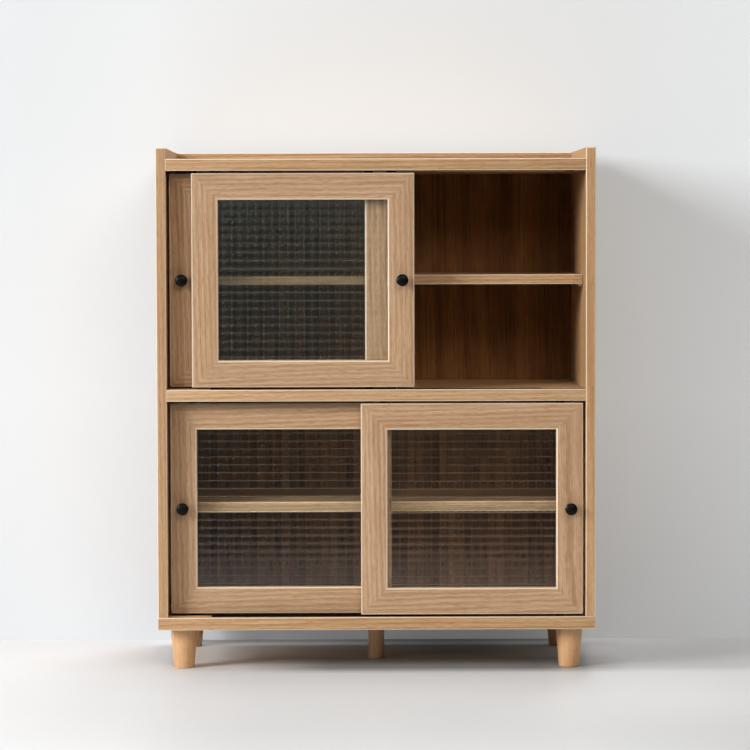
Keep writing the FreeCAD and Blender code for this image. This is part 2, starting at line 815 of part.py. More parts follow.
# Mitred door member: cut to its outline, bevelled inside and outside, and grooved for the glass
def door_member(door, name, points, door_height, inner_side, outer_side):
    body = new_body(f"{door.label}_{name}")
    put(body, door.x, door.y, door.z)
    outline = new_sketch(body, "outline", "XZ_Plane")
    draw_outline(outline, points)
    blank = pad(body, "blank", outline, size.door_thickness, True)

    def on_side(edge, side):
        axis, level = side
        return lies_at(edge, axis, amount(level)) and (runs_along(edge, "x") or runs_along(edge, "z"))

    bevel = bevelled(
        body, "glass_bevel", blank,
        lambda edge: on_side(edge, inner_side) and lies_at(edge, "y", 0),
        size.frame_bevel,
    )
    bevelled(body, "soft_edges", bevel, lambda edge: on_side(edge, outer_side), size.door_edge_bevel)
    groove = new_sketch(body, "glass_groove_outline", "XZ_Plane", -glass_groove_front)
    groove_floor = size.frame_width - size.glass_hold
    draw_box(groove, groove_floor, groove_floor, door_width - groove_floor, door_height - groove_floor)
    pocket(body, "glass_groove", groove, size.glass_thickness + size.groove_clearance)
    return body


# Pane of checker glass: upright flutes on the front, level flutes on the back
def glass_pane(door, door_height):
    body = new_body(f"{door.label}_glass")
    put(body, door.x, door.y, door.z)
    rim = size.frame_width - size.glass_hold
    side = rim + size.glass_play
    outline = new_sketch(body, "outline", "XZ_Plane", -size.glass_setback)
    draw_box(outline, side, rim, door_width - side, door_height - side)
    pad(body, "blank", outline, size.glass_thickness, True)

    flute_width = size.flute_pitch - size.flute_land
    radius = (flute_width * flute_width / 4 + size.flute_depth * size.flute_depth) / (2 * size.flute_depth)
    back_level = size.glass_setback + size.glass_thickness

    across = whole((door_width - 2 * side) / size.flute_pitch)
    first_x = (door_width - size.flute_pitch * (across - 1)) / 2
    cutter = new_sketch(body, "upright_flute_section", "XY_Plane", rim)
    draw_circles(cutter, [(first_x, size.glass_setback + size.flute_depth - radius)], 2 * radius)
    upright = pocket(body, "upright_flute", cutter, door_height - side - rim, True)
    repeated(body, "upright_flutes", upright, "X_Axis", size.flute_pitch, across)

    along = whole((door_height - side - rim) / size.flute_pitch)
    first_z = (door_height + rim - side - size.flute_pitch * (along - 1)) / 2
    cutter = new_sketch(body, "level_flute_section", "YZ_Plane", side)
    draw_circles(cutter, [(back_level - size.flute_depth + radius, first_z)], 2 * radius)
    level = pocket(body, "level_flute", cutter, door_width - 2 * side, True)
    repeated(body, "level_flutes", level, "Z_Axis", size.flute_pitch, along)


# Turned knob with a bevelled head on a stem, and the machine screw that holds it from behind the stile
def knob_and_screw(door, knob_x, door_height):
    knob = new_body(f"{door.label}_knob")
    put(knob, door.x + knob_x, door.y, door.z + door_height / 2)
    head_level = size.knob_projection - size.knob_head_length
    turning(knob, "foot", "XZ_Plane", 0, size.knob_foot_diameter, size.knob_foot_thickness)
    turning(knob, "stem", "XZ_Plane", 0, size.knob_stem_diameter, head_level)
    head = turning(knob, "head", "XZ_Plane", head_level, size.knob_diameter, size.knob_head_length)
    head_radius = amount(size.knob_diameter / 2)

    def on_back_rim(edge):
        reach = [math.hypot(vertex.Point.x, vertex.Point.z) for vertex in edge.Vertexes]
        return lies_at(edge, "y", -amount(head_level)) and all(same(r, head_radius) for r in reach)

    front = bevelled(
        knob, "front_bevel", head,
        lambda edge: lies_at(edge, "y", -amount(size.knob_projection)),
        size.knob_front_bevel,
    )
    bevelled(knob, "back_bevel", front, on_back_rim, size.knob_back_bevel)
    thread = new_sketch(knob, "thread_place", "XZ_Plane")
    draw_flats(thread, [(0, 0)], size.screw_diameter + size.bore_clearance)
    pocket(knob, "thread", thread, size.screw_bite + size.bore_relief, True)

    screw = new_body(f"{door.label}_knob_screw")
    put(screw, door.x + knob_x, door.y, door.z + door_height / 2)
    head_back = size.door_thickness - size.screw_sink
    head = new_sketch(screw, "head_outline", "XZ_Plane", -head_back)
    draw_flats(head, [(0, 0)], size.screw_head_diameter)
    pad(screw, "head", head, size.screw_head_height)
    shank = new_sketch(screw, "shank_outline", "XZ_Plane", size.screw_bite)
    draw_flats(shank, [(0, 0)], size.screw_diameter)
    pad(screw, "shank", shank, size.screw_bite + head_back - size.screw_head_height, True)
    slot = new_sketch(screw, "slot_outline", "XZ_Plane", -head_back)
    half_length = size.screw_head_diameter / 2
    half_width = size.screw_slot_width / 2
    draw_box(slot, -half_length, -half_width, half_length, half_width)
    pocket(screw, "slot", slot, size.screw_slot_depth, True)


# Nylon glides: a shoe with sloped ends on a flat tenon, two under the door and two over it
def glides(door, door_height):
    body = new_body(f"{door.label}_glides")
    put(body, door.x + door_width / 2, door.y + size.door_thickness / 2, door.z + door_height / 2)
    reach = door_width / 2 - size.glide_inset
    edge = door_height / 2
    tip = edge + size.glide_projection
    half = size.glide_length / 2
    tenon = size.glide_tenon_length / 2
    root = edge - size.glide_tenon_depth
    shoes = new_sketch(body, "shoe_outlines", "XZ_Plane", -size.glide_width / 2)
    tenons = new_sketch(body, "tenon_outlines", "XZ_Plane", -size.glide_tenon_thickness / 2)
    for x in (-reach, reach):
        draw_outline(shoes, [
            (x - half, edge),
            (x + half, edge),
            (x + half, tip - size.glide_slope),
            (x + half - size.glide_slope, tip),
            (x - half + size.glide_slope, tip),
            (x - half, tip - size.glide_slope),
        ])
        draw_box(tenons, x - tenon, root, x + tenon, edge)
    shoe_run = pad(body, "shoes", shoes, size.glide_width)
    tenon_run = pad(body, "tenons", tenons, size.glide_tenon_thickness)
    mirrored(body, "lower_glides", [shoe_run, tenon_run], "XY_Plane")


# Sliding door: four mitred members round a pane, with a knob on its outer stile
def sliding_door(label, left_x, depth, floor_z, opening, knob_on_left):
    door = SimpleNamespace(label=label, x=left_x, y=front_y + depth, z=floor_z + size.door_floor_gap)
    door_height = opening - size.door_floor_gap - size.door_head_gap
    width = size.frame_width
    outer = [(0, 0), (door_width, 0), (door_width, door_height), (0, door_height)]
    inner = [
        (width, width),
        (door_width - width, width),
        (door_width - width, door_height - width),
        (width, door_height - width),
    ]
    left = door_member(
        door, "left_stile", [outer[0], inner[0], inner[3], outer[3]], door_height,
        ("x", width), ("x", 0),
    )
    right = door_member(
        door, "right_stile", [outer[1], outer[2], inner[2], inner[1]], door_height,
        ("x", door_width - width), ("x", door_width),
    )
    top = door_member(
        door, "top_rail", [outer[3], inner[3], inner[2], outer[2]], door_height,
        ("z", door_height - width), ("z", door_height),
    )
    bottom = door_member(
        door, "bottom_rail", [outer[0], outer[1], inner[1], inner[0]], door_height,
        ("z", width), ("z", 0),
    )
    half_length = (size.glide_tenon_length + size.bore_clearance) / 2
    half_thickness = (size.glide_tenon_thickness + size.bore_clearance) / 2
    middle = size.door_thickness / 2
    for rail, level, upward in ((top, door_height, False), (bottom, 0, True)):
        mortises = new_sketch(rail, "mortise_outlines", "XY_Plane", level)
        for x in (size.glide_inset, door_width - size.glide_inset):
            left_end, right_end = x - half_length, x + half_length
            draw_box(mortises, left_end, middle - half_thickness, right_end, middle + half_thickness)
        pocket(rail, "mortises", mortises, size.glide_tenon_depth + size.bore_relief, upward)

    knob_stile = left if knob_on_left else right
    knob_x = size.knob_inset if knob_on_left else door_width - size.knob_inset
    centre = [(knob_x, door_height / 2)]
    hole = new_sketch(knob_stile, "screw_place", "XZ_Plane")
    draw_flats(hole, centre, size.screw_diameter + size.bore_clearance)
    pocket(knob_stile, "screw_hole", hole, size.door_thickness)
    recess_depth = size.screw_sink + size.screw_head_height
    recess = new_sketch(knob_stile, "recess_place", "XZ_Plane", recess_depth - size.door_thickness)
    draw_flats(recess, centre, size.screw_head_diameter + size.bore_clearance)
    pocket(knob_stile, "screw_recess", recess, recess_depth)

    glass_pane(door, door_height)
    knob_and_screw(door, knob_x, door_height)
    glides(door, door_height)


front_depth = size.door_setback
rear_depth = front_depth + door_pitch
closed_left = -door_closed_reach
closed_right = door_closed_reach - door_width
open_left = closed_right - door_travel
sliding_door("upper_front", open_left, front_depth, middle_top, size.upper_opening, False)
sliding_door("upper_rear", closed_left, rear_depth, middle_top, size.upper_opening, True)
sliding_door("lower_front", closed_right, front_depth, base_top, size.lower_opening, False)
sliding_door("lower_rear", closed_left, rear_depth, base_top, size.lower_opening, True)

# Check the model, then write each piece
doc.recompute()
failed = [thing.Label for thing in doc.Objects if "Invalid" in thing.State or "Error" in thing.State]
if failed:
    raise RuntimeError(f"these objects failed: {failed}")
for cut in cuts:
    removed = cut.BaseFeature.Shape.Volume - cut.Shape.Volume
    if removed <= 0:
        raise RuntimeError(f"{cut.Label} removes nothing")
for node in nodes:
    if node.Shape.isNull() or not node.Shape.isValid():
        raise RuntimeError(f"{node.Label} has no valid shape")
for node in nodes:
    node.Shape.exportStep(f"parts/{node.Label}.step")
print(f"{len(nodes)} pieces written")
for name, length in (
    ("door width", door_width),
    ("door travel", door_travel),
    ("stop length", stop_length),
    ("front edge", front_y),
    ("cabinet height", cabinet_top),
    ("door floor z", middle_top + size.door_floor_gap),
):
    print(f"{name}: {amount(length):.3f}")
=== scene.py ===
import json
import math
import bpy
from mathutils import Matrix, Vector


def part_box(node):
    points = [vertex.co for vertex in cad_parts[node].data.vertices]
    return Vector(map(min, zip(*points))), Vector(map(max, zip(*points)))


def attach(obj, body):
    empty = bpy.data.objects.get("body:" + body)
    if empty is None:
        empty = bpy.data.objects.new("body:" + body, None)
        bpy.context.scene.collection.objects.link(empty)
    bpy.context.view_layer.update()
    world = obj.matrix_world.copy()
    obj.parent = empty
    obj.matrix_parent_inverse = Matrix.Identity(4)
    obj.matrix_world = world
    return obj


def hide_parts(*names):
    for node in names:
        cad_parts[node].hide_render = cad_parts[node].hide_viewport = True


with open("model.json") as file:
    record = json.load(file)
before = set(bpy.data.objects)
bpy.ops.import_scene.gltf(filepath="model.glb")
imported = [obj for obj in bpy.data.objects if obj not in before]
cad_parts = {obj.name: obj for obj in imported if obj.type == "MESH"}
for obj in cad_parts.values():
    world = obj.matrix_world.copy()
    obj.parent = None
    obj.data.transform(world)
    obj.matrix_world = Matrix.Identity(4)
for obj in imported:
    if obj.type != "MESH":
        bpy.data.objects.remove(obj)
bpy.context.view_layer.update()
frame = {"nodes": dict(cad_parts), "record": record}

# Mizuya kitchen cabinet in oak-grain laminate, with two pairs of checker-glass sliding doors.
# Metres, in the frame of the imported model: +Z up, -Y the front. Angles in the dictionaries are in degrees.

nodes = frame["nodes"]
bodies = frame["record"]["behaviour"]["bodies"]
bodyOf = {node: body for body, members in bodies.items() for node in members}
doors = ["upper_front", "upper_rear", "lower_front", "lower_rear"]
pi = math.pi
print("frame loaded:", len(nodes), "nodes")


# camera
camera = {
    "place": (-0.0449, -5.1275, 0.7519),
    "lens": 139.61,
    "sensor": 36.0,
    "down": 2.822,
    "right": 0.4997,
    "roll": 0.1406,
}


def placeCamera():
    data = bpy.data.cameras.new("photoCamera")
    data.lens = camera["lens"]
    data.sensor_width = camera["sensor"]
    eye = bpy.data.objects.new("photoCamera", data)
    eye.location = camera["place"]
    turns = (90 - camera["down"], camera["roll"], -camera["right"])
    eye.rotation_euler = [math.radians(turn) for turn in turns]
    bpy.context.scene.collection.objects.link(eye)
    bpy.context.scene.camera = eye


placeCamera()
print("camera placed")


# small helpers for the modelled pieces
def clearSelection():
    if bpy.context.object and bpy.context.object.mode != "OBJECT":
        bpy.ops.object.mode_set(mode="OBJECT")
    bpy.ops.object.select_all(action="DESELECT")


def onlySelect(*pieces):
    clearSelection()
    for piece in pieces:
        piece.select_set(True)
    bpy.context.view_layer.objects.active = pieces[0]


def settle(piece, smoothAngle=None):  # place goes into the mesh, as a CAD node's does
    onlySelect(piece)
    bpy.ops.object.transform_apply(location=True, rotation=True, scale=True)
    if smoothAngle is not None:
        bpy.ops.object.shade_smooth_by_angle(angle=math.radians(smoothAngle))
    clearSelection()
    return piece


def joined(pieces, name):
    onlySelect(*pieces)
    bpy.ops.object.join()
    piece = bpy.context.object
    piece.name = name
    piece.data.name = name
    clearSelection()
    return piece


def paint(piece, finish):
    piece.data.materials.clear()
    piece.data.materials.append(finish)


def fit(piece, finish, body, slotName, *stoodFor):
    paint(piece, finish)
    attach(piece, body)
    if stoodFor:
        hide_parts(*stoodFor)


def editCopy(node, mergeWithin):  # a CAD node's mesh with its loose triangles merged, left in edit mode
    piece = nodes[node].copy()
    piece.data = nodes[node].data.copy()
    piece.parent = None
    bpy.context.scene.collection.objects.link(piece)
    onlySelect(piece)
    bpy.ops.object.mode_set(mode="EDIT")
    bpy.ops.mesh.select_all(action="SELECT")
    bpy.ops.mesh.remove_doubles(threshold=mergeWithin)
    return piece


def corners(piece):  # lowest and highest corner
    spots = [vertex.co for vertex in piece.data.vertices]
    low = Vector([min(spot[axis] for spot in spots) for axis in range(3)])
    high = Vector([max(spot[axis] for spot in spots) for axis in range(3)])
    return low, high


facings = {  # how a disc is turned, and the way it is drawn out
    "up": ((0, 0, 0), (0, 0, 1)),
    "front": ((pi / 2, 0, 0), (0, -1, 0)),
}


def lathe(name, facing, rings, sides):  # a disc drawn out ring by ring: (radius, how far out)
    turn, way = facings[facing]
    way = Vector(way)
    clearSelection()
    firstRadius, firstOut = rings[0]
    bpy.ops.mesh.primitive_circle_add(
        vertices=sides, radius=firstRadius, fill_type="NGON", location=way * firstOut, rotation=turn,
    )
    piece = bpy.context.object
    piece.name = name
    bpy.ops.object.mode_set(mode="EDIT")
    bpy.ops.mesh.select_all(action="SELECT")
    bpy.ops.mesh.flip_normals()  # the foot faces back, away from the turning
    for (radius, place), (nextRadius, nextPlace) in zip(rings, rings[1:]):
        bpy.ops.mesh.extrude_region_move(TRANSFORM_OT_translate={"value": way * (nextPlace - place)})
        share = nextRadius / radius
        bpy.ops.transform.resize(value=(share, share, share), center_override=way * nextPlace)
    bpy.ops.mesh.select_all(action="SELECT")
    bpy.ops.mesh.normals_make_consistent(inside=False)
    bpy.ops.object.mode_set(mode="OBJECT")
    return piece


def placedCopies(model, spots):  # each copy gets its own mesh, and the model itself is put away
    placed = []
    for name, place, turn in spots:
        piece = model.copy()
        piece.data = model.data.copy()
        bpy.context.scene.collection.objects.link(piece)
        piece.name = name
        piece.data.name = name
        piece.location = place
        piece.rotation_euler = turn
        placed.append(settle(piece))
    bpy.data.objects.remove(model)
    return placed


# material helpers
white = (1, 1, 1)
black = (0, 0, 0, 1)
nodeGrid = {"left": -1400, "top": 500, "columns": 7, "across": 180, "down": 220}  # where new nodes are put


class Recipe:  # the node tree of a material or of the world, built a node at a time
    def __init__(self, owner):
        owner.use_nodes = True
        self.owner = owner
        self.tree = owner.node_tree
        self.surface = self.tree.nodes.get("Principled BSDF")
        self.count = 0

    def add(self, kind, settings=None, **inputs):
        node = self.tree.nodes.new(kind)
        row, column = divmod(self.count, nodeGrid["columns"])
        node.location.x = nodeGrid["left"] + nodeGrid["across"] * column
        node.location.y = nodeGrid["top"] - nodeGrid["down"] * row
        self.count += 1
        for key, value in (settings or {}).items():
            setattr(node, key, value)
        for key, value in inputs.items():
            self.feed(node, key.replace("_", " "), value)
        return node

    def feed(self, node, socketName, value):
        socket = node.inputs[int(socketName)] if socketName.isdigit() else node.inputs[socketName]
        if isinstance(value, bpy.types.NodeSocket):
            self.tree.links.new(value, socket)
        else:
            socket.default_value = value

    def math(self, operation, first, second=0.0):
        return self.add("ShaderNodeMath", {"operation": operation}, **{"0": first, "1": second}).outputs[0]

    def vectorMath(self, operation, first, second, secondSocket="1"):
        inputs = {"0": first, secondSocket: second}
        return self.add("ShaderNodeVectorMath", {"operation": operation}, **inputs).outputs[0]

    def stretched(self, source, scale=(1, 1, 1), shift=(0, 0, 0), turn=(0, 0, 0)):
        node = self.add("ShaderNodeMapping", Vector=source, Scale=scale, Location=shift, Rotation=turn)
        return node.outputs[0]

    def noise(self, source, scale, detail=2.0, roughness=0.5, output="Fac"):
        node = self.add("ShaderNodeTexNoise", Vector=source, Scale=scale, Detail=detail, Roughness=roughness)
        return node.outputs[output]

    def ranged(self, source, fromMin=0.0, fromMax=1.0, toMin=0.0, toMax=1.0):
        limits = {"From_Min": fromMin, "From_Max": fromMax, "To_Min": toMin, "To_Max": toMax}
        return self.add("ShaderNodeMapRange", Value=source, **limits).outputs[0]

    def softEdge(self, source, edge, width):  # rises from 0 to 1, or falls if the width is negative
        if width > 0:
            return self.ranged(source, edge, edge + width)
        return self.ranged(source, edge + width, edge, 1.0, 0.0)

    def ramp(self, source, stops):
        node = self.add("ShaderNodeValToRGB", Fac=source)
        marks = node.color_ramp.elements
        while len(marks) < len(stops):
            marks.new(0.5)
        for mark, (place, colour) in zip(marks, stops):
            mark.position = place
            mark.color = (*colour, 1)
        return node.outputs["Color"]

    def blend(self, source, span, first, second):  # from one colour to the other
        return self.ramp(source, list(zip(span, (first, second))))

    def across(self, source, stops):  # a ramp with its stops between -1 and 1
        return self.ramp(self.ranged(source, -1.0), [((spot + 1) / 2, colour) for spot, colour in stops])

    def mixed(self, kind, share, first, second):
        inputs = {"0": share, "6": first, "7": second}
        return self.add("ShaderNodeMix", {"data_type": "RGBA", "blend_type": kind}, **inputs).outputs[2]

    def bump(self, height, strength, distance):
        node = self.add("ShaderNodeBump", Height=height, Strength=strength, Distance=distance)
        return node.outputs["Normal"]

    def either(self, share, first, second):
        return self.add("ShaderNodeMixShader", **{"0": share, "1": first, "2": second}).outputs[0]

    def seeThrough(self, share, colour=(1, 1, 1, 1)):  # this share of the surface lets light through
        clear = self.add("ShaderNodeBsdfTransparent", Color=colour).outputs[0]
        shown = self.either(share, self.surface.outputs[0], clear)
        self.feed(self.tree.nodes["Material Output"], "Surface", shown)


def toned(colour, share):  # a darker or paler shade of a colour
    return tuple(min(channel * share, 1) for channel in colour)


def greys(stops):
    return [(spot, (level, level, level)) for spot, level in stops]


# wood grain, the same for every wooden piece; the looks below vary it
grain = {
    # each pattern: how finely it changes along the grain and across it, its detail and its roughness
    "wander": (1.6, 9, 2.0, 0.5),
    "broad": (0.5, 34, 3.0, 0.5),
    "streaks": (0.8, 620, 3.0, 0.55),
    "fibres": (3, 1100, 4.0, 0.60),
    "pores": (55, 1500, 2.0, 0.5),
    "rings": {"Distortion": 2.2, "Detail": 3.0, "Detail_Scale": 1.3, "Detail_Roughness": 0.6},
    "twist": 0.6,  # share of the lean
    "poreEdge": (0.36, 0.47),
    # the pale cream of the painted highlight on the arrises
    "arrisHighlightColour": (0.90, 0.76, 0.60, 1),
    "sheenSpan": (0.3, 0.7),
    "sheenSpread": 0.07,
    "fibreRelief": 0.6,
    "poreRelief": 0.4,
    "reliefDepth": 0.0004,
    # each board comes from its own place in the log: a step further along for each one, and from the
    # heart a first distance, a step, and how many boards until it starts again
    "along": 0.37,
    "aside": (0.31, 0.043, 5),
    "above": (0.27, 0.059, 7),
}
grainTurn = {"x": (0, 0, 0), "z": (0, pi / 2, 0)}  # brings each grain direction onto X


def woodGrain(name, look, run, heart):
    recipe = Recipe(bpy.data.materials.new(name))
    place = recipe.add("ShaderNodeTexCoord").outputs["Object"]
    along = recipe.stretched(place, turn=grainTurn[run])
    log = recipe.stretched(along, shift=heart, turn=(0, look["lean"], look["lean"] * grain["twist"]))

    def pattern(source, kind, output="Fac"):
        lengthways, crossways, detail, roughness = grain[kind]
        drawn = recipe.stretched(source, (lengthways, crossways, crossways))
        return recipe.noise(drawn, 1.0, detail, roughness, output)

    centred = recipe.vectorMath("SUBTRACT", pattern(log, "wander", "Color"), (0.5, 0.5, 0.5))
    bent = recipe.vectorMath("ADD", log, recipe.vectorMath("SCALE", centred, look["wander"], "Scale"))
    rings = recipe.add(
        "ShaderNodeTexWave", {"wave_type": "RINGS", "rings_direction": "X", "wave_profile": "SIN"},
        Vector=bent, Scale=look["ringScale"], **grain["rings"],
    ).outputs["Fac"]
    broad = pattern(bent, "broad")
    streaks = pattern(bent, "streaks")
    fibres = pattern(log, "fibres")
    pores = pattern(log, "pores")

    tone = recipe.math("MULTIPLY", rings, look["ringShare"])
    for layer, share in ((fibres, "fibreShare"), (broad, "broadShare"), (streaks, "streakShare")):
        tone = recipe.math("ADD", tone, recipe.math("MULTIPLY", layer, look[share]))
    colour = recipe.ramp(tone, look["stops"])
    flecks = recipe.blend(pores, grain["poreEdge"], look["fleck"], white)
    colour = recipe.mixed("MULTIPLY", 1.0, colour, flecks)
    # painted highlight: faces marked as arrises in softened() are drawn towards a pale cream, where light
    # catches the edges
    litArris = recipe.add("ShaderNodeAttribute", {"attribute_name": "arris"}).outputs["Fac"]
    litArris = recipe.math("MULTIPLY", litArris, look["paleArris"])
    recipe.feed(recipe.surface, "Base Color", recipe.mixed("MIX", litArris, colour, grain["arrisHighlightColour"]))

    rough, spread = look["roughness"], grain["sheenSpread"]
    sheen = recipe.ranged(fibres, *grain["sheenSpan"], rough - spread, rough + spread)
    recipe.feed(recipe.surface, "Roughness", sheen)
    recipe.surface.inputs["Specular IOR Level"].default_value = look["specular"]
    fibreRelief = recipe.math("MULTIPLY", fibres, grain["fibreRelief"])
    poreRelief = recipe.math("MULTIPLY", pores, grain["poreRelief"])
    relief = recipe.bump(recipe.math("ADD", fibreRelief, poreRelief), look["relief"], grain["reliefDepth"])
    recipe.feed(recipe.surface, "Normal", relief)
    return recipe.owner


# wood finishes
carcaseOak = {
    # share of the painted highlight on the arrises
    "paleArris": 0.85,
    "lean": 0.012, "wander": 0.007, "ringScale": 42.0, "roughness": 0.50, "specular": 0.35, "relief": 0.20,
    "ringShare": 0.08, "fibreShare": 0.36, "broadShare": 0.19, "streakShare": 0.37,
    "fleck": (0.80, 0.70, 0.60),
    "stops": [
        (0.37, (0.365, 0.195, 0.088)),
        (0.46, (0.480, 0.288, 0.144)),
        (0.54, (0.560, 0.360, 0.196)),
        (0.64, (0.655, 0.460, 0.278)),
    ],
}
sideOak = dict(carcaseOak, ringShare=0.09, fibreShare=0.30, broadShare=0.30, streakShare=0.31, stops=[
    (0.37, (0.385, 0.216, 0.106)),
    (0.46, (0.475, 0.285, 0.150)),
    (0.54, (0.535, 0.338, 0.188)),
    (0.64, (0.610, 0.416, 0.252)),
])
doorOak = {
    # share of the painted highlight on the arrises
    "paleArris": 0.70,
    "lean": 0.022, "wander": 0.014, "ringScale": 38.0, "roughness": 0.48, "specular": 0.35, "relief": 0.20,
    "ringShare": 0.11, "fibreShare": 0.35, "broadShare": 0.18, "streakShare": 0.36,
    "fleck": (0.82, 0.72, 0.63),
    "stops": [
        (0.37, (0.385, 0.218, 0.116)),
        (0.46, (0.470, 0.290, 0.164)),
        (0.54, (0.535, 0.354, 0.216)),
        (0.64, (0.610, 0.436, 0.286)),
    ],
}
turnedWood = {
    "paleArris": 0.0,
    "lean": 0.015, "wander": 0.006, "ringScale": 40.0, "roughness": 0.34, "specular": 0.5, "relief": 0.08,
    "ringShare": 0.06, "fibreShare": 0.34, "broadShare": 0.28, "streakShare": 0.32,
    "fleck": (0.93, 0.88, 0.83),
    "stops": [
        (0.37, (0.585, 0.318, 0.146)),
        (0.47, (0.620, 0.352, 0.168)),
        (0.55, (0.655, 0.388, 0.196)),
        (0.65, (0.700, 0.438, 0.238)),
    ],
}
darkBack = {
    "paleArris": 0.0,
    "lean": 0.015, "wander": 0.012, "ringScale": 12.0, "roughness": 0.60, "specular": 0.12, "relief": 0.10,
    "ringShare": 0.10, "fibreShare": 0.30, "broadShare": 0.26, "streakShare": 0.34,
    "fleck": (0.80, 0.68, 0.56),
    "stops": [
        (0.36, (0.115, 0.047, 0.0180)),
        (0.45, (0.200, 0.089, 0.0310)),
        (0.55, (0.290, 0.135, 0.0480)),
        (0.66, (0.400, 0.200, 0.0780)),
    ],
}


def tinted(look, red, green, blue):  # the same grain, each colour taken down to a share
    stops = [(spot, (r * red, g * green, b * blue)) for spot, (r, g, b) in look["stops"]]
    return dict(look, stops=stops)


# painted shade: the right side panel gets a darker, warmer copy of the left side's oak, for the other light
# it stands in
shadedRightOak = tinted(sideOak, 0.97, 0.92, 0.82)  # a little warmer and darker than the left side
# painted shade: the gallery's back rail gets the carcase oak darkened, as it stands in shade
shadedRailOak = tinted(carcaseOak, 0.80, 0.80, 0.80)
bareDowel = dict(turnedWood, roughness=0.7, specular=0.2)

grainOf = {  # which way the grain runs on each wooden node, and its finish
    "side_panel_left": ("z", sideOak), "side_panel_right": ("z", shadedRightOak),
    "top_board": ("x", carcaseOak), "middle_board": ("x", carcaseOak), "bottom_board": ("x", carcaseOak),
    "gallery_rail": ("x", shadedRailOak), "door_stops": ("x", carcaseOak),
    "lower_shelf": ("x", carcaseOak), "upper_shelf": ("x", carcaseOak),
    "lower_back_panel": ("z", darkBack), "upper_back_panel": ("z", darkBack),
    "wood_dowels": ("x", bareDowel),
}
for door in doors:
    for stile in ("left_stile", "right_stile"):
        grainOf[f"{door}_{stile}"] = ("z", doorOak)
    for rail in ("top_rail", "bottom_rail"):
        grainOf[f"{door}_{rail}"] = ("x", doorOak)

woodFinish = {}
(aside, asideStep, asideCycle), (above, aboveStep, aboveCycle) = grain["aside"], grain["above"]
for number, (node, (run, look)) in enumerate(grainOf.items()):
    heart = (
        grain["along"] * number, aside + asideStep * (number % asideCycle),
        above + aboveStep * (number % aboveCycle),
    )
    woodFinish[node] = woodGrain(f"grain_{node}", look, run, heart)
    paint(nodes[node], woodFinish[node])
print("wood finishes:", len(woodFinish))


# boards and door members, their arrises softened
board = {
    "carcaseArris": 0.0011,
    "doorArris": 0.0009,
    "arrisSteps": 3,
    "smooth": 24,
    "mergeWithin": 1e-6,
    "flatWithin": 0.5,
    "shortestArris": 0.008,
    "onFace": 1e-5,  # an edge this near to the outside lies on it
    "mitre": 0.002,  # an edge that runs further than this both sideways and up is a mitre's
    "square": 0.995,  # a face is slanted if no part of its normal is as long as this
    "frontward": -0.3,
}


def mergedCopy(node, name):  # a CAD node's mesh as one clean skin
    piece = editCopy(node, board["mergeWithin"])
    piece.name = name
    bpy.ops.mesh.dissolve_limited(angle_limit=math.radians(board["flatWithin"]))
    bpy.ops.mesh.normals_make_consistent(inside=False)
    bpy.ops.object.mode_set(mode="OBJECT")
    return piece


def liesOn(ends, axis, level):
    return all(abs(end[axis] - level) < board["onFace"] for end in ends)


def arrisEdges(piece):  # long outer edges, and those round the front face, but not the mitres
    spots = [vertex.co for vertex in piece.data.vertices]
    low, high = corners(piece)
    picked = []
    for edge in piece.data.edges:
        ends = [spots[corner] for corner in edge.vertices]
        span = ends[1] - ends[0]
        if span.length < board["shortestArris"]:
            continue
        outer = sum(liesOn(ends, axis, low[axis]) or liesOn(ends, axis, high[axis]) for axis in range(3))
        onFront = liesOn(ends, 1, low.y)
        mitred = abs(span.x) > board["mitre"] and abs(span.z) > board["mitre"]
        if (outer >= 2 or onFront) and not mitred:
            picked.append(edge.index)
    return picked


def softened(piece, width):  # the arrises taken off, as wrapped and lipped boards have them
    picked = arrisEdges(piece)
    for part in (piece.data.polygons, piece.data.edges, piece.data.vertices):
        for item in part:
            item.select = False
    for index in picked:
        piece.data.edges[index].select = True
    onlySelect(piece)
    bpy.context.tool_settings.mesh_select_mode = (False, True, False)
    bpy.ops.object.mode_set(mode="EDIT")
    bpy.ops.mesh.bevel(
        offset=width, offset_type="OFFSET", segments=board["arrisSteps"], profile=0.5, affect="EDGES",
        clamp_overlap=True,
    )
    bpy.ops.object.mode_set(mode="OBJECT")
    bpy.context.tool_settings.mesh_select_mode = (True, False, False)
    # painted highlight: marks the faces that the wood finish draws paler
    pale = []  # the new faces, and the door members' own bevels
    for face in piece.data.polygons:
        slanted = max(abs(part) for part in face.normal) < board["square"]
        pale.append(float(slanted and (face.select or face.normal.y < board["frontward"])))
    piece.data.attributes.new("arris", "FLOAT", "FACE").data.foreach_set("value", pale)
    bpy.ops.object.shade_smooth_by_angle(angle=math.radians(board["smooth"]))
    clearSelection()
    return piece


def slotFor(node):
    if node.split("_")[0] in ("upper", "lower") and node.endswith(("stile", "rail")):
        return "door_oak"
    if node.endswith("shelf"):
        return "shelf_oak"
    return "carcase_oak"


for node in grainOf:
    if node in ("door_stops", "wood_dowels") or node.endswith("back_panel"):
        continue
    width = board["doorArris"] if slotFor(node) == "door_oak" else board["carcaseArris"]
    eased = softened(mergedCopy(node, f"{node}_eased"), width)
    fit(eased, woodFinish[node], bodyOf[node], slotFor(node), node)
print("arrises softened")


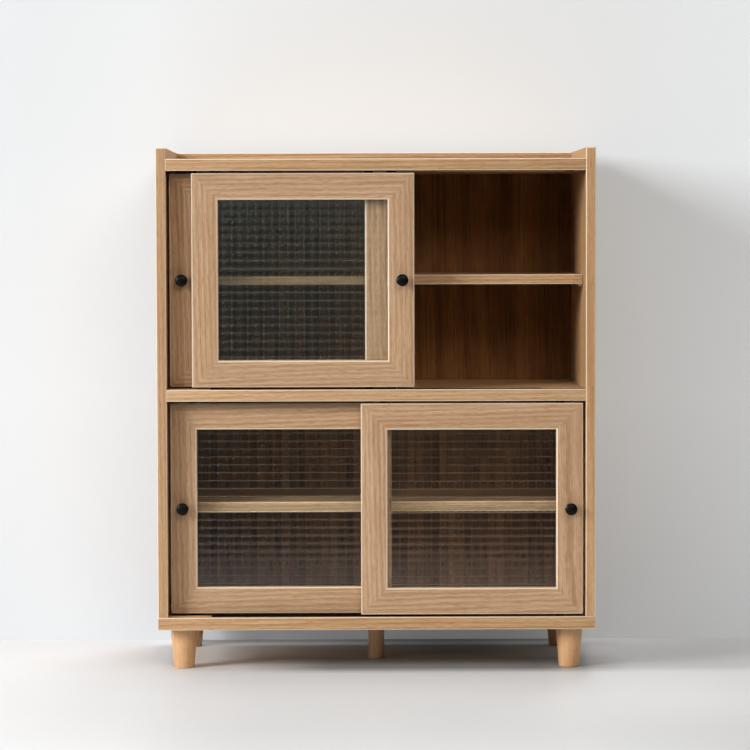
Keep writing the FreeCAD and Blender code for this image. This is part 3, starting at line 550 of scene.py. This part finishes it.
# plastic finishes
plastic = {
    "cloudScale": 35.0,
    "cloudSpan": (0.3, 0.7),
    "darkest": 0.82,
    "palest": 1.15,
    "smoother": 0.06,
    "rougher": 0.08,
    "grainHeight": 0.0002,
}
plastics = {  # each with how fine and how deep its moulded grain is
    "blackTrack": {
        "colour": (0.006, 0.005, 0.0045),
        "roughness": 0.55, "specular": 0.15, "fineness": 900, "depth": 0.10,
    },
    "blackKnob": {
        "colour": (0.0016, 0.0018, 0.0017),
        "roughness": 0.33, "specular": 0.16, "fineness": 1600, "depth": 0.05,
    },
    "blackNylon": {
        "colour": (0.006, 0.005, 0.0045),
        "roughness": 0.58, "specular": 0.15, "fineness": 700, "depth": 0.08,
    },
    "brownCap": {
        "colour": (0.26, 0.075, 0.032),
        "roughness": 0.48, "specular": 0.4, "fineness": 900, "depth": 0.08,
    },
}


def mouldedPlastic(name):
    look = plastics[name]
    recipe = Recipe(bpy.data.materials.new(name))
    place = recipe.add("ShaderNodeTexCoord").outputs["Object"]
    speckle = recipe.noise(place, look["fineness"], 3.0)
    cloud = recipe.noise(place, plastic["cloudScale"])
    darker, paler = toned(look["colour"], plastic["darkest"]), toned(look["colour"], plastic["palest"])
    recipe.feed(recipe.surface, "Base Color", recipe.blend(cloud, plastic["cloudSpan"], darker, paler))
    smoothest, roughest = look["roughness"] - plastic["smoother"], look["roughness"] + plastic["rougher"]
    recipe.feed(recipe.surface, "Roughness", recipe.ranged(speckle, toMin=smoothest, toMax=roughest))
    recipe.surface.inputs["Specular IOR Level"].default_value = look["specular"]
    recipe.feed(recipe.surface, "Normal", recipe.bump(speckle, look["depth"], plastic["grainHeight"]))
    return recipe.owner


# metal finish
steel = {
    "colour": (0.60, 0.59, 0.57),
    "dullest": 0.8,
    "cloudScale": 180.0,
    "cloudSpan": (0.3, 0.7),
    "lines": (120, 2400, 2400),
    "lineDepth": 0.15,
    "lineHeight": 0.0001,
    "roughness": 0.34,
    "roughSpread": 0.1,
}


def platedSteel(name):
    recipe = Recipe(bpy.data.materials.new(name))
    place = recipe.add("ShaderNodeTexCoord").outputs["Object"]
    lines = recipe.noise(recipe.stretched(place, steel["lines"]), 1.0, 3.0)
    cloud = recipe.noise(place, steel["cloudScale"])
    dull = toned(steel["colour"], steel["dullest"])
    recipe.feed(recipe.surface, "Base Color", recipe.blend(cloud, steel["cloudSpan"], dull, steel["colour"]))
    recipe.surface.inputs["Metallic"].default_value = 1.0
    smoothest = steel["roughness"] - steel["roughSpread"]
    roughest = steel["roughness"] + steel["roughSpread"]
    recipe.feed(recipe.surface, "Roughness", recipe.ranged(lines, toMin=smoothest, toMax=roughest))
    recipe.feed(recipe.surface, "Normal", recipe.bump(lines, steel["lineDepth"], steel["lineHeight"]))
    return recipe.owner


blackTrack, blackKnob, blackNylon, brownCap = (mouldedPlastic(name) for name in plastics)
zincSteel = platedSteel("zincSteel")

fittings = ("cam_discs", "cam_bolts", "leg_hanger_bolts", "shelf_pins")
for node in nodes:
    if node.endswith("_track"):
        finish = blackTrack
    elif node.endswith("_glides"):
        finish = blackNylon
    elif node in fittings or node.endswith("_knob_screw"):
        finish = zincSteel
    elif node == "cam_caps":
        finish = brownCap
    elif node.endswith("_knob"):
        finish = blackKnob
    else:
        continue
    paint(nodes[node], finish)
print("plastic and metal finishes done")


# checker glass
pane = {
    "pitch": 0.0138,
    # each cell's rounded border, from the groove inwards: (width, rise)
    "border": [(0.0007, 0.00012), (0.0013, 0.00012), (0.0020, 0.00009)],
    "smooth": 12,
    "flatWithin": 1,
    "tint": (0.965, 0.985, 0.972),
    "palest": 1.015,
    "darkest": 0.985,
    "streakScale": 14.0,
    "streakSpan": (0.35, 0.65),
    "rippleScale": 90.0,
    "rippleDepth": 0.012,
    "rippleHeight": 0.0003,
    "through": (0.53, 0.55, 0.565, 1),  # light that passes to the inside
    "roughness": 0.02,
    "ior": 1.50,
}


def checkerGlass():
    recipe = Recipe(bpy.data.materials.new("checkerGlass"))
    place = recipe.add("ShaderNodeTexCoord").outputs["Object"]
    streak = recipe.noise(place, pane["streakScale"])
    thick, thin = toned(pane["tint"], pane["darkest"]), toned(pane["tint"], pane["palest"])
    recipe.feed(recipe.surface, "Base Color", recipe.blend(streak, pane["streakSpan"], thick, thin))
    recipe.surface.inputs["Transmission Weight"].default_value = 1.0
    recipe.surface.inputs["Roughness"].default_value = pane["roughness"]
    recipe.surface.inputs["IOR"].default_value = pane["ior"]
    ripple = recipe.bump(recipe.noise(place, pane["rippleScale"]), pane["rippleDepth"], pane["rippleHeight"])
    recipe.feed(recipe.surface, "Normal", ripple)
    recipe.seeThrough(recipe.add("ShaderNodeLightPath").outputs["Is Shadow Ray"], pane["through"])
    return recipe.owner


def checkerPane(name, size):  # square cells, each raised to a flat-topped pillow, with a plain back
    rise = sum(step for width, step in pane["border"])
    clearSelection()
    bpy.ops.mesh.primitive_grid_add(
        x_subdivisions=round(size.x / pane["pitch"]), y_subdivisions=round(size.z / pane["pitch"]), size=1,
        rotation=(pi / 2, 0, 0), location=(0, rise - size.y / 2, 0),
    )
    glass = bpy.context.object
    glass.name = name
    glass.scale = (size.x, size.z, 1)
    bpy.ops.object.transform_apply(location=True, rotation=True, scale=True)
    bpy.ops.object.mode_set(mode="EDIT")
    bpy.ops.mesh.select_all(action="SELECT")
    bpy.ops.mesh.duplicate()
    bpy.ops.mesh.flip_normals()
    bpy.ops.transform.translate(value=(0, size.y - rise, 0))  # the plain back face
    bpy.ops.mesh.dissolve_limited(angle_limit=math.radians(pane["flatWithin"]))
    bpy.ops.mesh.select_all(action="INVERT")
    for width, step in pane["border"]:
        bpy.ops.mesh.inset(thickness=width, depth=step, use_individual=True, use_even_offset=False)
    bpy.ops.mesh.select_all(action="DESELECT")
    bpy.ops.mesh.select_mode(type="EDGE")
    bpy.ops.mesh.select_non_manifold(extend=False, use_wire=False, use_boundary=True, use_multi_face=False)
    bpy.ops.mesh.bridge_edge_loops()
    bpy.ops.mesh.select_all(action="SELECT")
    bpy.ops.mesh.normals_make_consistent(inside=False)
    bpy.ops.mesh.select_mode(type="VERT")
    bpy.ops.object.mode_set(mode="OBJECT")
    return settle(glass, pane["smooth"])


glassFinish = checkerGlass()
for tier in ("upper", "lower"):  # both panes of a tier are the same size
    low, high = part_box(f"{tier}_front_glass")
    pair = [door for door in doors if door.startswith(tier)]
    spots = []
    for door in pair:
        paneLow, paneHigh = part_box(f"{door}_glass")
        spots.append((f"{door}_checker_pane", (paneLow + paneHigh) / 2, (0, 0, 0)))
    for door, glass in zip(pair, placedCopies(checkerPane(f"{tier}_pane", high - low), spots)):
        paint(nodes[f"{door}_glass"], glassFinish)
        fit(glass, glassFinish, bodyOf[f"{door}_glass"], "checker_glass", f"{door}_glass")
print("checker panes done")


# turned legs
leg = {
    "sides": 96,
    "footShare": 35 / 47,  # the foot's width over the top's
    "footRound": 0.0016,
    "footSteps": 5,
    "taperRings": (0.25, 0.5, 0.75),
    "collar": 0.0006,
    "smooth": 35,
    # its place in the log: a step along for each leg, and its place off the heart
    "along": 0.21,
    "aside": 0.12,
    "asideStep": 0.05,
    "above": 0.17,
}


def turnedLeg(name, height, footRadius, topRadius):
    rings = []
    for step in range(leg["footSteps"] + 1):  # rounded arris at the foot
        turn = pi / 2 * step / leg["footSteps"]
        rings.append((
            footRadius - leg["footRound"] * (1 - math.sin(turn)),
            leg["footRound"] * (1 - math.cos(turn)),
        ))
    for share in leg["taperRings"]:
        rings.append((footRadius + (topRadius - footRadius) * share, height * share))
    rings.append((topRadius, height - leg["collar"]))
    rings.append((topRadius - leg["collar"], height))
    return settle(lathe(name, "up", rings, leg["sides"]), leg["smooth"])


def legSize(node):
    low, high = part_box(node)
    return high.z - low.z, (high.x - low.x) / 2


def legSpot(node):
    low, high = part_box(node)
    return f"{node}_turned", ((low.x + high.x) / 2, (low.y + high.y) / 2, low.z), (0, 0, 0)


outerLegs = ["front_left_leg", "front_right_leg", "rear_left_leg", "rear_right_leg"]
legHeight, outerRadius = legSize("front_left_leg")
centreRadius = legSize("centre_leg")[1]
tapered = turnedLeg("tapered_leg", legHeight, outerRadius * leg["footShare"], outerRadius)
turned = placedCopies(tapered, [legSpot(node) for node in outerLegs])
straight = turnedLeg("straight_leg", legHeight, centreRadius, centreRadius)
turned += placedCopies(straight, [legSpot("centre_leg")])
for number, (node, piece) in enumerate(zip(outerLegs + ["centre_leg"], turned)):
    heart = (leg["along"] * number, leg["aside"] + leg["asideStep"] * number, leg["above"])
    finish = woodGrain(f"grain_{node}", turnedWood, "z", heart)
    paint(nodes[node], finish)
    fit(piece, finish, "cabinet", "turned_wood", node)
print("legs turned")


# knobs
knob = {
    "sides": 72,
    # foot and neck, from the stile outwards: (radius, how far out)
    "stem": [
        (0.00700, 0.0), (0.00700, 0.00084), (0.00658, 0.0014),
        (0.00560, 0.0021), (0.00500, 0.0045), (0.00530, 0.00765), (0.00675, 0.0090),
    ],
    "rimRound": 0.0012,
    "rimCorner": 0.3,  # share of the round that the corner's middle stands back
    "crownRise": 0.0042,
    "crownSteps": 9,
    "crownFullness": 0.72,  # 1 is a plain ellipse, less is fuller
    "crownMiddle": 0.12,
    "smooth": 40,
}


def turnedKnob(headRadius, reach):
    headStart = knob["stem"][-1][1]
    corner = knob["rimRound"] * knob["rimCorner"]
    rings = knob["stem"] + [
        (headRadius - knob["rimRound"], headStart),
        (headRadius - corner, headStart + corner),
        (headRadius, headStart + knob["rimRound"]),
    ]
    for step in range(knob["crownSteps"]):  # domed crown
        turn = pi / 2 * step / knob["crownSteps"]
        rings.append((
            headRadius * math.cos(turn) ** knob["crownFullness"],
            reach - knob["crownRise"] * (1 - math.sin(turn)),
        ))
    rings.append((headRadius * knob["crownMiddle"], reach))
    return settle(lathe("turned_knob", "front", rings, knob["sides"]), knob["smooth"])


def knobSpot(door):
    low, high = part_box(f"{door}_knob")
    return f"{door}_turned_knob", ((low.x + high.x) / 2, high.y, (low.z + high.z) / 2), (0, 0, 0)


low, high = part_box("upper_front_knob")
knobs = placedCopies(turnedKnob((high.x - low.x) / 2, high.y - low.y), [knobSpot(door) for door in doors])
for door, piece in zip(doors, knobs):
    fit(piece, blackKnob, bodyOf[f"{door}_knob"], "black_knob", f"{door}_knob")
print("knobs turned")


# cover caps of the cam fittings
cap = {
    "sides": 40,
    "smooth": 35,
    "mergeWithin": 1e-5,
    # shares of the cap's thickness
    "edgeRound": 0.35,
    "dishFloor": 0.82,
    "edgeCorner": 0.3,  # share of the round
    # shares of its radius
    "dish": 0.82,
    "dishMiddle": 0.1,
    "dishSlope": 0.97,  # share of the dish
}


def coverCap(radius, thickness):
    edge = thickness * cap["edgeRound"]
    corner = edge * cap["edgeCorner"]
    dish = radius * cap["dish"]
    dishFloor = thickness * cap["dishFloor"]
    rings = [
        (radius, 0.0),
        (radius, thickness - edge),
        (radius - corner, thickness - corner),
        (radius - edge, thickness),
        (dish, thickness),
        (dish * cap["dishSlope"], dishFloor),
        (radius * cap["dishMiddle"], dishFloor),
    ]
    return settle(lathe("cover_cap", "up", rings, cap["sides"]), cap["smooth"])


def looseBoxes(node):  # lowest and highest corner of each separate solid of a CAD node
    editCopy(node, cap["mergeWithin"])
    bpy.ops.mesh.separate(type="LOOSE")
    bpy.ops.object.mode_set(mode="OBJECT")
    found = list(bpy.context.selected_objects)
    boxes = [corners(piece) for piece in found]
    clearSelection()
    for piece in found:
        bpy.data.objects.remove(piece)
    return sorted(boxes, key=lambda pair: tuple(round(value, 4) for value in pair[0]))


def coverCaps():
    boxes = looseBoxes("cam_caps")
    low, high = boxes[-1]  # any of them, because all are alike
    size = high - low
    model = coverCap(max(size.x, size.z) / 2, min(size.x, size.z))
    spots = []
    for number, (low, high) in enumerate(boxes):
        size = high - low
        middle = (low + high) / 2
        if size.z < size.x:  # under a board
            spots.append((f"cap{number}", (middle.x, middle.y, high.z), (pi, 0, 0)))
        elif middle.x < 0:  # on the inside of a side panel
            spots.append((f"cap{number}", (low.x, middle.y, middle.z), (0, pi / 2, 0)))
        else:
            spots.append((f"cap{number}", (high.x, middle.y, middle.z), (0, -pi / 2, 0)))
    return joined(placedCopies(model, spots), "cover_caps")


fit(coverCaps(), brownCap, "cabinet", "cap_plastic", "cam_caps")
print("cover caps done")


# floor
floorLook = {
    "size": 6.0,
    "clearFrom": 1.15,  # it fades to clear between these distances from the middle
    "clearAt": 2.0,
    "roughness": 0.42,
    "specular": 0.12,
    "cloudScale": 2.2,
    "cloudSpan": (0.3, 0.7),
    "cloud": (0.985, 0.985, 0.985),
    # painted light and shade, paler towards the window on the left and greyer on the right: (place along the
    # floor, colour)
    "colour": [
        (-0.9, (0.76, 0.765, 0.780)), (-0.4, (0.82, 0.825, 0.84)), (-0.2, (0.77, 0.78, 0.80)),
        (0.3, (0.75, 0.765, 0.785)), (0.6, (0.63, 0.635, 0.65)),
    ],
    # painted shade: its middle, half width and soft edge across, where it starts and where it ends
    # in depth, each with its soft edge, and its share
    "shade": [
        ((0.10, 0.34, 0.16), (-0.20, 0.06), (0.03, 0.06), 0.60),  # the cabinet's own shade in front
        ((0.15, 0.24, 0.20), (-0.02, 0.05), (0.26, 0.03), 0.50),  # deeper under the middle
        ((0.72, 0.50, 0.12), (-0.20, 0.06), (0.26, 0.03), 0.24),  # on the right of it
        ((0.00, 0.37, 0.05), (0.14, 0.05), (0.26, 0.03), 0.70),  # the narrow strip behind it
        ((0.10, 0.36, 0.30), (0.10, 0.04), (0.26, 0.03), 0.46),  # along the foot of the wall
        ((-0.90, 0.55, 0.10), (-0.22, 0.36), (0.26, 0.03), 0.12),  # on the left
        ((0.45, 1.35, 0.60), (-3.00, 0.10), (-0.46, 0.32), 0.12),  # far in front
    ],
}


def paleFloor():
    recipe = Recipe(bpy.data.materials.new("paleFloor"))
    place = recipe.add("ShaderNodeTexCoord").outputs["Object"]
    split = recipe.add("ShaderNodeSeparateXYZ", Vector=place)
    sideways, depth = split.outputs["X"], split.outputs["Y"]
    cloud = recipe.noise(place, floorLook["cloudScale"], 3.0)
    soft = recipe.blend(cloud, floorLook["cloudSpan"], floorLook["cloud"], white)
    # painted light and shade across the floor from left to right, mottled by the soft cloud
    colour = recipe.mixed("MULTIPLY", 1.0, recipe.across(sideways, floorLook["colour"]), soft)
    kept = 1.0
    for (middle, halfWidth, fadeAcross), (near, fadeNear), (far, fadeFar), amount in floorLook["shade"]:
        aside = recipe.math("ABSOLUTE", recipe.math("SUBTRACT", sideways, middle))
        across = recipe.softEdge(aside, halfWidth, -fadeAcross)
        begun, ended = recipe.softEdge(depth, near, fadeNear), recipe.softEdge(depth, far, -fadeFar)
        taken = recipe.math("MULTIPLY", across, recipe.math("MULTIPLY", begun, ended))
        taken = recipe.math("MULTIPLY", taken, amount)
        kept = recipe.math("MULTIPLY", kept, recipe.math("SUBTRACT", 1.0, taken))
    dark = recipe.math("SUBTRACT", 1.0, kept)
    recipe.feed(recipe.surface, "Base Color", recipe.mixed("MIX", dark, colour, black))
    recipe.surface.inputs["Roughness"].default_value = floorLook["roughness"]
    recipe.surface.inputs["Specular IOR Level"].default_value = floorLook["specular"]
    away = recipe.add("ShaderNodeVectorMath", {"operation": "LENGTH"}, **{"0": place}).outputs["Value"]
    fade = recipe.ranged(away, floorLook["clearFrom"], floorLook["clearAt"])
    below = recipe.add("ShaderNodeNewGeometry").outputs["Backfacing"]  # the floor shows from above only
    recipe.seeThrough(recipe.math("MAXIMUM", fade, below))
    return recipe.owner


# wall
wallLook = {
    "face": 0.215,
    "width": 9.0,
    "height": 5.0,
    "colour": (0.70, 0.73, 0.765, 1),
    "roughness": 0.9,
    "plasterScale": 160.0,
    "plasterDepth": 0.05,
    "plasterHeight": 0.001,
    # shade behind the legs, its share and its soft edges
    "gapHalfWidth": 0.37,
    "gapTop": 0.105,
    "gapShade": 0.25,
    "gapFadeAcross": 0.05,
    "gapFadeUp": 0.03,
    # shade towards the floor: how high it goes, and its share along the wall
    "footHeight": 0.45,
    "footShade": [
        (-0.80, 0.14), (-0.55, 0.09), (-0.40, 0.10), (-0.10, 0.14), (0.10, 0.34), (0.24, 0.34),
        (0.36, 0.22), (0.80, 0.15),
    ],
    # what the camera sees on top of the light on the wall: (place along the wall, strength)
    "glowColour": (0.92, 0.97, 1, 1),
    "glow": [
        (-0.80, 0.10), (-0.62, 0.11), (-0.42, 0.16), (-0.36, 0.16), (0.0, 0.16), (0.42, 0.17), (0.75, 0.24),
    ],
}


def paleWall():
    recipe = Recipe(bpy.data.materials.new("paleWall"))
    place = recipe.add("ShaderNodeTexCoord").outputs["Object"]
    plaster = recipe.noise(place, wallLook["plasterScale"], 3.0)
    relief = recipe.bump(plaster, wallLook["plasterDepth"], wallLook["plasterHeight"])
    recipe.feed(recipe.surface, "Normal", relief)
    recipe.surface.inputs["Roughness"].default_value = wallLook["roughness"]

    # the wall's own coordinates go from -0.5 to 0.5
    split = recipe.add("ShaderNodeSeparateXYZ", Vector=place)
    sideways = recipe.math("MULTIPLY", split.outputs["X"], wallLook["width"])
    upwards = recipe.math("MULTIPLY", recipe.math("ADD", split.outputs["Y"], 0.5), wallLook["height"])
    aside = recipe.math("ABSOLUTE", sideways)
    behind = recipe.softEdge(aside, wallLook["gapHalfWidth"], -wallLook["gapFadeAcross"])
    low = recipe.softEdge(upwards, wallLook["gapTop"], -wallLook["gapFadeUp"])
    gap = recipe.math("MULTIPLY", recipe.math("MULTIPLY", behind, low), wallLook["gapShade"])
    lower = recipe.softEdge(upwards, wallLook["footHeight"], -wallLook["footHeight"])
    foot = recipe.math("MULTIPLY", recipe.across(sideways, greys(wallLook["footShade"])), lower)
    dark = recipe.math("MAXIMUM", gap, foot)
    recipe.feed(recipe.surface, "Base Color", recipe.mixed("MIX", dark, wallLook["colour"], black))

    recipe.surface.inputs["Emission Color"].default_value = wallLook["glowColour"]
    glow = recipe.across(sideways, greys(wallLook["glow"]))
    lit = recipe.math("MULTIPLY", glow, recipe.math("SUBTRACT", 1.0, dark))
    seen = recipe.add("ShaderNodeLightPath").outputs["Is Camera Ray"]
    recipe.feed(recipe.surface, "Emission Strength", recipe.math("MULTIPLY", seen, lit))
    backs = recipe.add("ShaderNodeNewGeometry").outputs["Backfacing"]  # the wall shows from its front only
    recipe.seeThrough(backs)
    return recipe.owner


def buildStage():
    clearSelection()
    bpy.ops.mesh.primitive_plane_add(size=floorLook["size"], location=(0, 0, 0))
    floor = bpy.context.object
    floor.name = "floor"
    floor.data.materials.append(paleFloor())
    bpy.ops.mesh.primitive_plane_add(
        size=1, location=(0, wallLook["face"], wallLook["height"] / 2), rotation=(pi / 2, 0, 0),
    )
    wall = bpy.context.object
    wall.name = "wall"
    wall.scale = (wallLook["width"], wallLook["height"], 1)
    wall.data.materials.append(paleWall())
    for flag in ("visible_diffuse", "visible_shadow", "visible_transmission"):
        setattr(wall, flag, False)  # it takes no light away from the cabinet
    clearSelection()


# lamps, all of them square
lamps = {
    "windowLeft": {
        "place": (-5.0, -3.1, 2.4), "aim": (0, 0, 0.5),
        "size": 2.4, "power": 368.0, "colour": (0.99, 1.0, 1.0),
    },
    "fillFront": {
        "place": (0.9, -3.6, 2.6), "aim": (0, 0, 0.5),
        "size": 1.5, "power": 44.0, "colour": (1.0, 0.86, 0.70),
    },
    "ceiling": {
        "place": (-0.3, 0.2, 3.4), "aim": (0, 0.2, 0),
        "size": 1.6, "power": 30.0, "colour": white,
    },
    "fillBack": {
        "place": (0.6, 2.1, 3.9), "aim": (0, 0.2, 0.5),
        "size": 1.6, "power": 70.0, "colour": white,
    },
}


def hangLamps():
    for name, lamp in lamps.items():
        data = bpy.data.lights.new(name, "AREA")
        data.shape = "SQUARE"
        data.size = lamp["size"]
        data.energy = lamp["power"]
        data.color = lamp["colour"]
        holder = bpy.data.objects.new(name, data)
        holder.location = lamp["place"]
        aim = Vector(lamp["aim"]) - Vector(lamp["place"])
        holder.rotation_euler = aim.to_track_quat("-Z", "Y").to_euler()
        bpy.context.scene.collection.objects.link(holder)


# the room around, which lights the cabinet softly and is mirrored in polished faces
room = {
    "light": 0.42,
    "frontShade": 0.2,  # share of the light on the camera's side
    "frontSpan": (-1.0, 0.1),
    "rightGain": 2.6,  # paler on the right, away from the window
    "lowSpan": (0.08, 0.5),  # dark near the floor, so the legs stand in shade
    "seen": 0.94,
    "mirrored": (0.105, 0.125, 0.112, 1),
    "mirrorMost": 16,  # a ramp holds no more than 1, so the levels go in as shares of this
    # how bright the mirrored room is: from left to right, and from low to high
    "mirrorAcross": [
        (-1.0, 0.8), (-0.40, 0.8), (-0.32, 4.0), (-0.20, 4.0), (-0.14, 0.9), (0.05, 0.9), (0.11, 0.10),
        (0.5, 0.10), (0.7, 0.7),
    ],
    "mirrorUp": [
        (-1.0, 0.6), (-0.20, 0.6), (-0.10, 0.9), (0.015, 0.9), (0.055, 4.6), (0.30, 4.6), (0.40, 1.5),
        (1.0, 1.2),
    ],
}


def lightRoom():
    recipe = Recipe(bpy.data.worlds.new("room"))
    bpy.context.scene.world = recipe.owner
    recipe.tree.nodes.clear()
    direction = recipe.add("ShaderNodeTexCoord").outputs["Generated"]
    split = recipe.add("ShaderNodeSeparateXYZ", Vector=direction)
    sideways, depth, upwards = (split.outputs[axis] for axis in "XYZ")

    shade = recipe.ranged(depth, *room["frontSpan"], room["light"] * room["frontShade"], room["light"])
    rightward = recipe.ranged(sideways, toMin=1.0, toMax=room["rightGain"])
    height = recipe.ranged(upwards, *room["lowSpan"])
    light = recipe.math("MULTIPLY", recipe.math("MULTIPLY", shade, rightward), height)
    soft = recipe.add("ShaderNodeBackground", Strength=light).outputs[0]

    levels = []
    for source, stops in ((sideways, room["mirrorAcross"]), (upwards, room["mirrorUp"])):
        shares = [(spot, level / room["mirrorMost"]) for spot, level in stops]
        levels.append(recipe.across(source, greys(shares)))
    level = recipe.math("MULTIPLY", recipe.math("MULTIPLY", *levels), room["mirrorMost"] ** 2)
    shine = recipe.add("ShaderNodeBackground", Color=room["mirrored"], Strength=level).outputs[0]

    seen = recipe.add("ShaderNodeBackground", Strength=room["seen"]).outputs[0]
    rays = recipe.add("ShaderNodeLightPath")
    unseen = recipe.either(rays.outputs["Is Glossy Ray"], soft, shine)
    shown = recipe.either(rays.outputs["Is Camera Ray"], unseen, seen)
    recipe.feed(recipe.add("ShaderNodeOutputWorld"), "Surface", shown)


buildStage()
hangLamps()
lightRoom()
bpy.context.scene.view_settings.view_transform = "Standard"
print("stage and light done")
